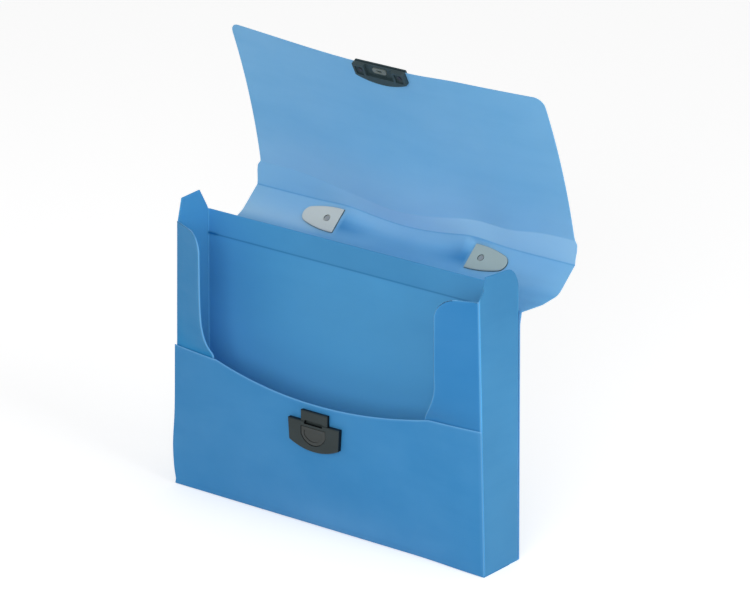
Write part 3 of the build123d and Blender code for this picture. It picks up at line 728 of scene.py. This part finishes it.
def build_cover():
    """Five sheets cut from one surface, each bent at its own fold."""
    line, place, folds = cover_line()
    length = place[-1]
    seams = [
        (folds[REAR] + folds[CORNER]) / 2,
        (folds[CORNER] + folds[BAND]) / 2,
        folds[BAND] + BAND_SEAM,
        (folds[STRIP] + folds[PANEL]) / 2,
    ]
    corner_rows = length - COVER_END_R * (1 - np.cos(np.radians(COVER_CORNER_ANGLES)))
    fold_rows = [fold + step for fold in folds for step in FOLD_ROW_STEPS]
    rows = np.concatenate([place, seams, corner_rows, fold_rows])
    rows = np.unique(np.round(rows, ROW_DIGITS))
    points, s = cover_grid(rows, line, place, folds)
    normals = grid_normals(points)
    flat = np.stack([points[..., 0], s], axis=-1)
    painted_light_and_shade = cover_painted_light_and_shade(points[..., 0], s, folds)

    names = ("hinge_sheet", "fold_1_sheet", "fold_2_sheet", "fold_3_sheet", "cover_sheet")
    cuts = [0] + [int(np.argmin(abs(rows - seam))) for seam in seams] + [len(rows) - 1]
    pieces = {}
    for name, first, last in zip(names, cuts, cuts[1:]):
        part = slice(first, last + 1)
        free = ["left", "right"] + (["last"] if name == "cover_sheet" else [])
        pieces[name] = sheet(
            name, points[part], WRAP_T, LIT_COVER, free, flat[part], painted_light_and_shade[part], normals[part]
        )
    for name, a, b, fold, reach in (
        ("hinge_sheet", "tray", "rear", REAR, 1.5),
        ("fold_1_sheet", "rear", "corner", CORNER, 3.5),
        ("fold_2_sheet", "corner", "band", BAND, 5.2),
        ("fold_3_sheet", "band", "front", STRIP, 1.5),
        ("cover_sheet", "front", "cover", PANEL, 1.5),
    ):
        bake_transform(pieces[name])
    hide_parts("outer_back_panel", "rear_strip")
    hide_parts("corner_strip")
    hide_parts("handle_band", "front_strip")
    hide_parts("cover_panel")


# The wrap's bottom and front


def bow_at(z):
    """How far the front's middle stands out at a height."""
    low = np.clip(1 - np.asarray(z, float) / BOW_FULL_Z, 0, 1)
    return BOW * (1 - low**BOW_POWER)


def front_top(x):
    """Height of the front's upper edge, with an arc cut out of its middle."""
    radius = (DIP_HALF_W**2 + DIP_DEPTH**2) / (2 * DIP_DEPTH)
    arc = np.sqrt(np.maximum(radius**2 - np.minimum(abs(x), DIP_HALF_W) ** 2, 0))
    return FRONT_H - np.maximum(arc - (radius - DIP_DEPTH), 0)


def build_front():
    mid_z = WRAP_T / 2
    fold_y = -(WRAP_MID_Y - FRONT_FOLD_R)
    u = FRONT_COLUMNS
    rows = []
    for y in np.linspace(BOTTOM_SEAM_Y, fold_y, BOTTOM_ROWS):
        x = (HALF_W + BOTTOM_OVER) * u
        ahead = forward(x) * (BOTTOM_SEAM_Y - y) / (BOTTOM_SEAM_Y + WRAP_IN_Y)
        rows.append(np.stack([x, y - ahead, np.full(len(u), mid_z)], axis=-1))
    for turn in map(math.radians, FRONT_FOLD_ANGLES):
        x = (HALF_W + FOLD_OVER) * u
        y = fold_y - FRONT_FOLD_R * math.sin(turn) - forward(x)
        z = mid_z + FRONT_FOLD_R * (1 - math.cos(turn))
        rows.append(np.stack([x, y, np.full(len(u), z)], axis=-1))
    for share in FRONT_ROWS:
        height = share * FRONT_H
        left = front_half_w(height, LEFT) + FRONT_OVER + bells(height, *LEFT_EDGE_WAVES)
        right = front_half_w(height, RIGHT) + FRONT_OVER
        edge = np.where(u < 0, left, right)
        x = edge * u
        z = FRONT_FOOT_Z + (front_top(x) - FRONT_FOOT_Z) * share
        y = -WRAP_MID_Y - bow_at(z) * (1 - (x / edge) ** 2) - forward(x)
        rows.append(np.stack([x, y, z], axis=-1))
    points = np.array(rows)[::-1]

    x, y, z = np.moveaxis(points, -1, 0)
    # Painted highlights along the upper edge and the right side, and painted light low in the
    # middle, on the upright front only
    upright = y < UPRIGHT_Y
    top = bells(front_top(x) - z, FRONT_TOP_TONE)
    side = bells(x - front_half_w(z, RIGHT) - FRONT_OVER, FRONT_SIDE_TONE)
    low = bells(z, FRONT_LOW_TONE) * bell(x, *FRONT_LOW_X)
    painted_light_and_shade = (top + side + low) * upright
    flat = np.stack([x, z + y], axis=-1)
    piece = sheet("wrap_sheet", points, WRAP_T, SHELL, ["first", "left", "right"], flat, painted_light_and_shade)
    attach(piece, "tray")
    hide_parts("front_panel", "bottom_panel")


# The sleeve's gussets and back


def ear_height(y, side):
    """Upper edge of a gusset along its depth. The left ear is cut straight, the right is round."""
    front = np.clip((y + GUSSET_Y) / EAR_FRONT_RUN, 0, 1)
    run = EAR_BACK_RUN[side]
    behind = np.clip((y - GUSSET_Y + run) / run, 0, 1)
    back = 1 - behind if side == LEFT else np.sqrt(1 - behind**EAR_ROUNDNESS)
    return WALL_H + EAR_RISE * min(front, back)


def sleeve_columns():
    """Columns from the left gusset round the back to the right one, as (side, kind, place).

    The place is Y on a gusset, the angle at a corner and the share of the width on the back.
    """
    wall = [("gusset", y) for y in GUSSET_COLUMNS] + [("turn", angle) for angle in TURN_COLUMNS]
    back = [(0, "back", share) for share in BACK_COLUMNS]
    return [(LEFT, *c) for c in wall] + back + [(RIGHT, *c) for c in reversed(wall)]


def sleeve_top(side, kind, place):
    if kind == "gusset":
        return ear_height(place, side)
    if kind == "back":
        return BACK_H
    ear = ear_height(SLEEVE_MID_Y - SLEEVE_CORNER_R, side)
    return max(BACK_H, ear * (1 - place / EAR_END_ANGLE) + BACK_H * place / EAR_END_ANGLE)


def sleeve_point(side, kind, place, z):
    back_w = back_half_w(z) - SLEEVE_T / 2
    inner = back_w - SLEEVE_CORNER_R
    if kind == "back":
        return -inner + 2 * inner * place, SLEEVE_MID_Y, z
    if kind == "turn":
        angle = math.radians(place)
        y = SLEEVE_MID_Y - SLEEVE_CORNER_R + SLEEVE_CORNER_R * math.sin(angle)
        return side * (inner + SLEEVE_CORNER_R * math.cos(angle)), y, z
    front_w = front_half_w(z, side) - SLEEVE_T / 2
    share = (place + GUSSET_Y) / (2 * GUSSET_Y)
    ahead = RIGHT_FORWARD * fade(place, -GUSSET_Y, FORWARD_TO_Y) if side == RIGHT else 0
    y = place - ahead * fade(z, *FORWARD_FADE_Z)
    return side * (front_w + (back_w - front_w) * share), y, z


def sleeve_painted_light_and_shade(x, y, z):
    """Painted light on the inner back and the gussets, painted shade in the lip's crease and along
    its middle, and a painted highlight along the right gusset's front edge.
    """
    on_back = smooth(y, *BACK_EDGE_Y)
    on_lip = smooth(z, *LIP_EDGE_Z)
    back = (
        BACK_TONE
        + BACK_LOW_TONE * fade(z, *BACK_LOW_Z)
        + BACK_LEFT_TONE * fade(x, *BACK_LEFT_X)
        + on_lip * (bells(x, LIP_MIDDLE_TONE) + steps(x, LIP_RIGHT_TONE))
        + bells(z, LIP_END_TONE) * fade(x, *LIP_END_X)
        + bells(z, LIP_CREASE_TONE)
    )
    right = RIGHT_GUSSET_TONE * fade(z, *RIGHT_GUSSET_Z) + bells(y, RIGHT_RIM_TONE)
    gusset = (x > 0) * right + (x < 0) * LEFT_GUSSET_TONE
    return on_back * back + (1 - on_back) * gusset


def build_sleeve():
    columns = []
    for column in sleeve_columns():
        top = sleeve_top(*column)
        heights = WRAP_T + (top - WRAP_T) * SLEEVE_ROWS
        columns.append([sleeve_point(*column, z) for z in heights])
    points = np.array(columns).swapaxes(0, 1)
    x, y, z = np.moveaxis(points, -1, 0)
    lengths = np.linalg.norm(np.diff(points[..., :2], axis=1), axis=-1)
    run = np.pad(np.cumsum(lengths, axis=1), ((0, 0), (1, 0)))
    flat = np.stack([run - run[:, -1:] / 2, z], axis=-1)
    painted_light_and_shade = sleeve_painted_light_and_shade(x, y, z)
    free = ["last", "left", "right"]
    piece = sheet("sleeve_sheet", points, SLEEVE_T, SLEEVE, free, flat, painted_light_and_shade, rim=SLEEVE_RIM)
    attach(piece, "tray")
    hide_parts("inner_back_panel", "left_gusset", "right_gusset")


# The sleeve's dust flaps, each one sheet with the flange below it


def flap_free_edge(z, side):
    """X of the flap's free edge, and of the flange's edge behind the front panel."""
    foot = FLARE_FOOT_X[side]
    share = np.clip((z - FLAP_FOOT_Z) / (FLARE_Z - FLAP_FOOT_Z), 0, 1)
    flare = foot + (FLAP_EDGE_X - foot) * np.sin(share * np.pi / 2) ** FLARE_POWER
    flange = FLANGE_EDGE_X - (FLANGE_EDGE_X - foot) * smooth(z, FLANGE_TOP_Z, FLAP_FOOT_Z)
    corner = corner_inset(np.clip(z - FLAP_CORNER_Z, 0, FLAP_CORNER_R), FLAP_CORNER_R)
    return np.where(z < FLAP_FOOT_Z, flange, flare + corner)


def flap_splay(z):
    """Angle by which the flap stands off the front."""
    above = np.maximum(z - FLAP_FOOT_Z, 0)
    return SPLAY_FOOT + SPLAY_GAIN * (1 - np.exp(-above / SPLAY_HEIGHT))


def build_flap(side, name, material, nodes):
    rows = []
    for z in FLAP_ROWS:
        root_x = front_half_w(z, side) - SLEEVE_T / 2
        x = root_x + (flap_free_edge(z, side) - root_x) * FLAP_COLUMNS
        bow = bow_at(z) * (1 - (x / (front_half_w(z, side) + FRONT_OVER)) ** 2)
        on_front = GUSSET_Y + SLEEVE_T / 2 + bow
        slope = math.tan(math.radians(flap_splay(z)))
        free = GUSSET_Y + FLAP_ROOT_Y + slope * (root_x - FLAP_ROOT_X - x)
        turned = smooth(z, *FLAP_TURN_Z)
        y = -(on_front * (1 - turned) + free * turned)
        y[0] = -GUSSET_Y
        rows.append(np.stack([side * x, y - forward(side * x), np.full(len(x), z)], axis=-1))
    points = np.array(rows)[:, ::-side]

    # Painted highlights along the flap's free edge, top and root, and painted shade over all of it
    x, z = abs(points[..., 0]), points[..., 2]
    edge = bells(x - flap_free_edge(z, side), FLAP_EDGE_TONE) * (z > FLAP_EDGE_FOOT_Z)
    root = bells(front_half_w(z, side) - SLEEVE_T / 2 - x, FLAP_ROOT_TONE)
    painted_light_and_shade = edge + bells(z, FLAP_TOP_TONE) + root + FLAP_TONE[side]
    flat = np.stack([points[..., 0], z], axis=-1)
    free = ["first", "last", "left", "right"]
    piece = sheet(name, points, SLEEVE_T, material, free, flat, painted_light_and_shade, rim=FLAP_RIM)
    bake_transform(piece)
    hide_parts(*nodes)


# Nodes that keep their own mesh

KEPT_NODES = {
    "inner_bottom_panel": SHELL,
    "lock_base": LOCK,
    "lock_button": BUTTON,
    "lock_back_plate": LOCK,
    "catch_housing": CATCH,
    "catch_outer_plate": CATCH,
    "catch_tongue": TONGUE,
    "left_inner_plate": PLATE,
    "right_inner_plate": PLATE,
    "handle_grip": HANDLE,
    "left_handle_foot": HANDLE,
    "right_handle_foot": HANDLE,
    "lock_rivets": STEEL,
    "catch_rivets": DARK_STEEL,
    "handle_rivets": STEEL,
    "handle_pins": STEEL,
}


def paint_kept_nodes():
    for node, material in KEPT_NODES.items():
        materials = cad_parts[node].data.materials
        materials.clear()
        materials.append(material)


# Floor, light and camera


def stage_floor():
    """Grey paper for light on the object, which glows towards the camera and in reflections."""
    far = FLOOR_REACH
    corners = [(-far, -far, 0), (far, -far, 0), (far, far, 0), (-far, far, 0)]
    mesh = bpy.data.meshes.new("floor")
    mesh.from_pydata(corners, [], [(0, 1, 2, 3)])
    m = Material("floor_paper")
    rays = m.add("ShaderNodeLightPath").outputs
    seen = m.calculate("MAXIMUM", rays["Is Camera Ray"], rays["Is Glossy Ray"])
    seen = m.calculate("MAXIMUM", seen, rays["Is Transmission Ray"])
    m.set(Base_Color=FLOOR_COLOUR, Roughness=0.9, Specular_IOR_Level=0.1)
    m.set(Emission_Color=WHITE, Emission_Strength=m.calculate("MULTIPLY", seen, FLOOR_GLOW))
    mesh.materials.append(m.material)
    floor = bpy.data.objects.new("floor", mesh)
    bpy.context.scene.collection.objects.link(floor)


def stage_world():
    """White where the camera sees it, and half as strong as light on the object."""
    world = bpy.data.worlds.new("studio")
    bpy.context.scene.world = world
    world.use_nodes = True
    nodes, links = world.node_tree.nodes, world.node_tree.links
    nodes.clear()
    mix = nodes.new("ShaderNodeMixShader")
    for i, strength in enumerate((ROOM_STRENGTH, BACKGROUND_STRENGTH), start=1):
        background = nodes.new("ShaderNodeBackground")
        background.inputs["Color"].default_value = WHITE
        background.inputs["Strength"].default_value = strength
        links.new(background.outputs[0], mix.inputs[i])
    links.new(nodes.new("ShaderNodeLightPath").outputs["Is Camera Ray"], mix.inputs["Fac"])
    links.new(mix.outputs[0], nodes.new("ShaderNodeOutputWorld").inputs["Surface"])


def stage_camera():
    data = bpy.data.cameras.new("camera")
    data.sensor_fit = "HORIZONTAL"
    data.sensor_width = SENSOR_WIDTH
    data.lens = FOCAL_PIXELS / PHOTO_WIDTH * SENSOR_WIDTH
    data.clip_end = CLIP_END
    camera = bpy.data.objects.new("camera", data)
    azimuth, elevation = math.radians(CAMERA_AZIMUTH), math.radians(CAMERA_ELEVATION)
    level = math.cos(elevation)
    away = Vector((math.sin(azimuth) * level, -math.cos(azimuth) * level, math.sin(elevation)))
    camera.location = Vector(CAMERA_TARGET) + away * CAMERA_DISTANCE
    camera.rotation_euler = (-away).to_track_quat("-Z", "Y").to_euler()
    bpy.context.scene.collection.objects.link(camera)
    bpy.context.scene.camera = camera


def lamp(name, watts, size, place):
    data = bpy.data.lights.new(name, "AREA")
    data.shape = "RECTANGLE"
    data.size, data.size_y = size
    data.energy = watts
    light = bpy.data.objects.new(name, data)
    light.location = place
    light.rotation_euler = (Vector(LAMP_AIM) - Vector(place)).to_track_quat("-Z", "Y").to_euler()
    bpy.context.scene.collection.objects.link(light)


build_cover()
build_front()
build_sleeve()
build_flap(
    LEFT, "left_flap_sheet", SHADED_LEFT_FLAP, ("left_front_flange", "left_dust_flap")
)
build_flap(
    RIGHT, "right_flap_sheet", SHELL, ("right_front_flange", "right_dust_flap")
)
paint_kept_nodes()
stage_floor()
stage_world()
stage_camera()
lamp("front_softbox", watts=26, size=(1.5, 1.2), place=(1.03, -2.21, 1.09))
lamp("side_softbox", watts=18, size=(1.2, 1.2), place=(2.24, -0.2, 1.5))
bpy.context.scene.view_settings.view_transform = "Standard"
